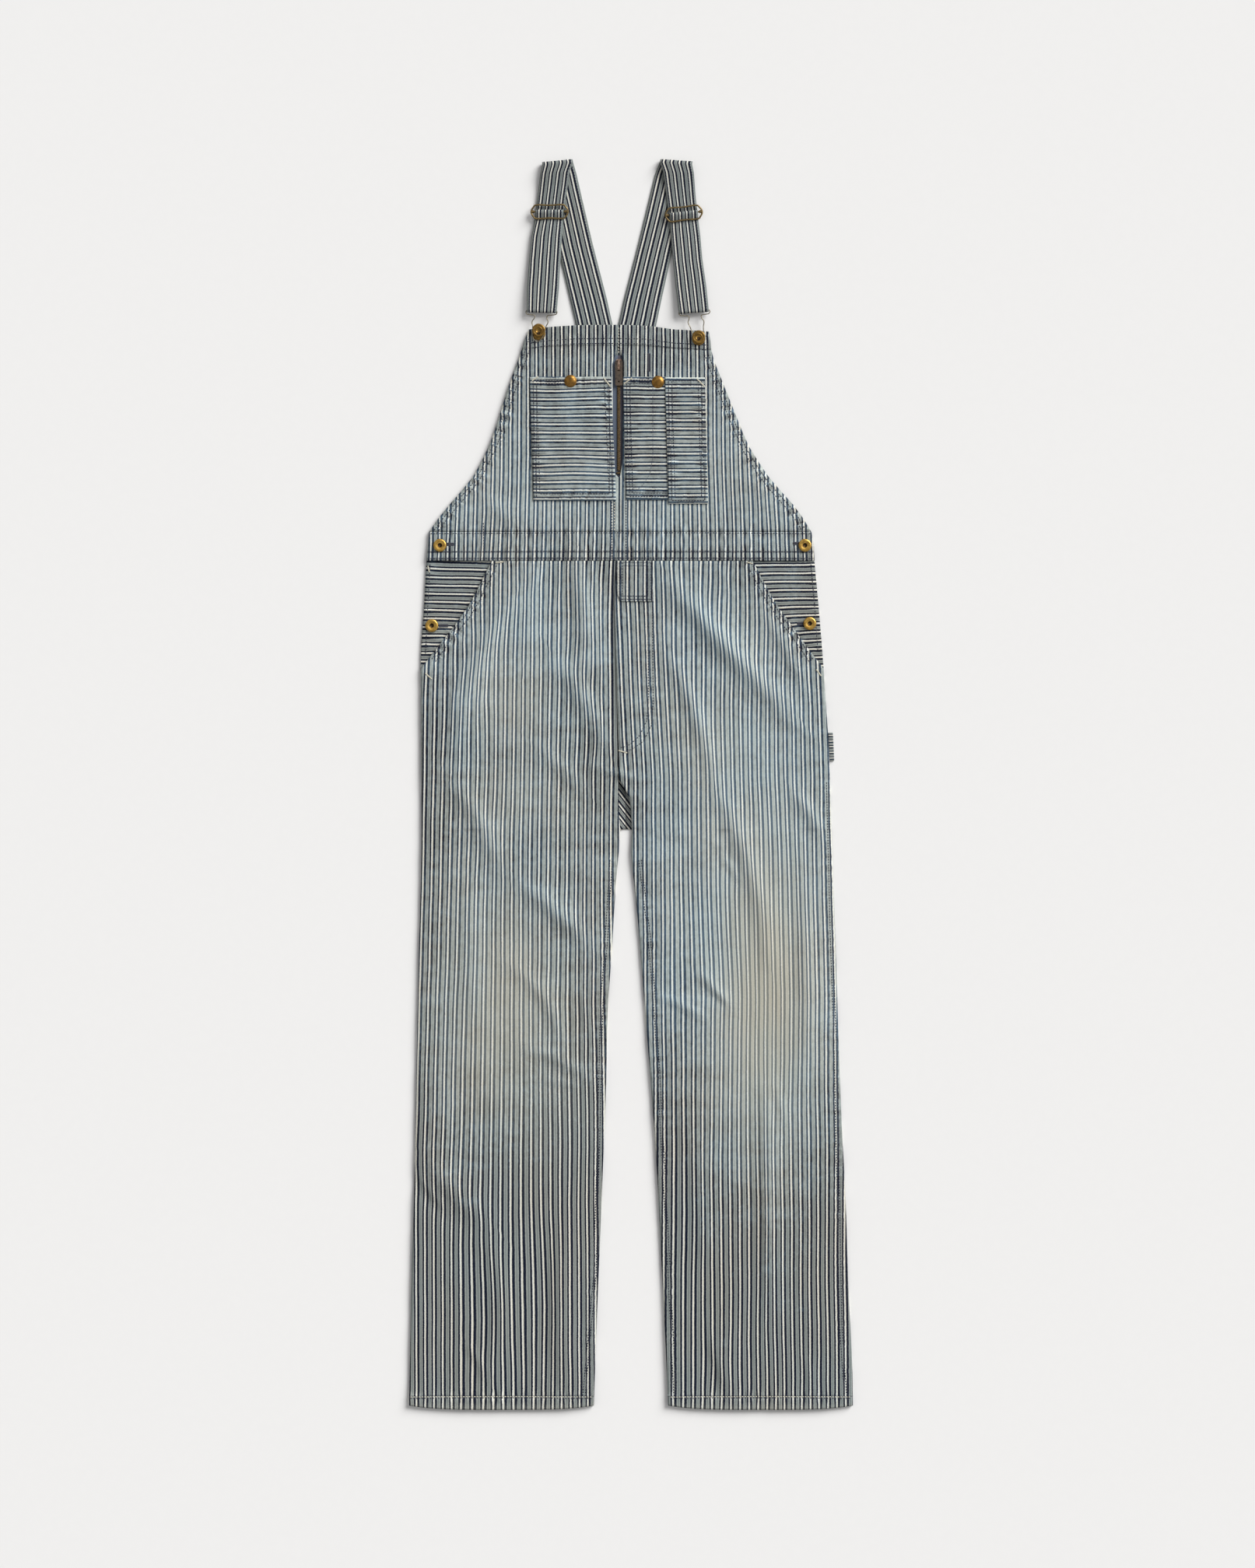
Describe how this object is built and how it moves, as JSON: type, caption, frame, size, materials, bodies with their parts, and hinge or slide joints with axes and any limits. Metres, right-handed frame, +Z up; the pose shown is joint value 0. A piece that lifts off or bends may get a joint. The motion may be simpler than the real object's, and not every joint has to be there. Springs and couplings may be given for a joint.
{
  "type": "bib dungarees laid flat",
  "caption": "Striped cotton bib dungarees laid flat, front up, with folded shoulder straps hooked to the bib, bib and hand pockets, side buttons and a zip whose pull tab flips.",
  "frame": {"origin": "on the surface that it lies on, under the middle of its outline", "axes": "+Y from the hems to the straps, +X towards the wearer's left side, +Z up out of the front"},
  "size_m": [0.5698, 1.6069, 0.0101],
  "materials": {
    "hickory_cloth": "washed cotton twill with lengthwise cream, navy and grey stripes",
    "strap_webbing": "two plies of unfaded striped cotton twill, stitched along both edges",
    "zip_tape": "woven cotton tape",
    "aged_brass": "dull, darkened brass wire and plate",
    "button_brass": "pressed brass, lightly worn"
  },
  "bodies": {
    "garment": {"back_bodice": "hickory_cloth", "back_leg_right": "hickory_cloth", "back_leg_left": "hickory_cloth", "hand_pocket_right": "hickory_cloth", "hand_pocket_left": "hickory_cloth", "front_leg_right": "hickory_cloth", "front_leg_left": "hickory_cloth", "bib_right": "hickory_cloth", "bib_left": "hickory_cloth", "waistband": "hickory_cloth", "bib_pocket_right": "hickory_cloth", "bib_pocket_left": "hickory_cloth", "pen_pocket": "hickory_cloth", "fly_tab": "hickory_cloth", "hammer_loop": "hickory_cloth", "strap_right": "strap_webbing", "strap_left": "strap_webbing", "zip_tape": "zip_tape", "strap_slider_right": "aged_brass", "strap_slider_left": "aged_brass", "hook_right": "aged_brass", "hook_left": "aged_brass", "bib_button_right": "button_brass", "bib_button_left": "button_brass", "side_button_right_upper": "button_brass", "side_button_right_lower": "button_brass", "side_button_left_upper": "button_brass", "side_button_left_lower": "button_brass", "bib_stud_right": "button_brass", "bib_stud_left": "button_brass", "zip_slider": "aged_brass"},
    "zip_pull": {"zip_pull": "aged_brass"}
  },
  "joints": [
    {"name": "zip_pull_flip", "type": "hinge", "parent": "garment", "child": "zip_pull", "pos_m": [-0.0156, 0.5437, 0.0065], "axis": [-1, 0, 0], "range_deg": [0, 180]}
  ]
}
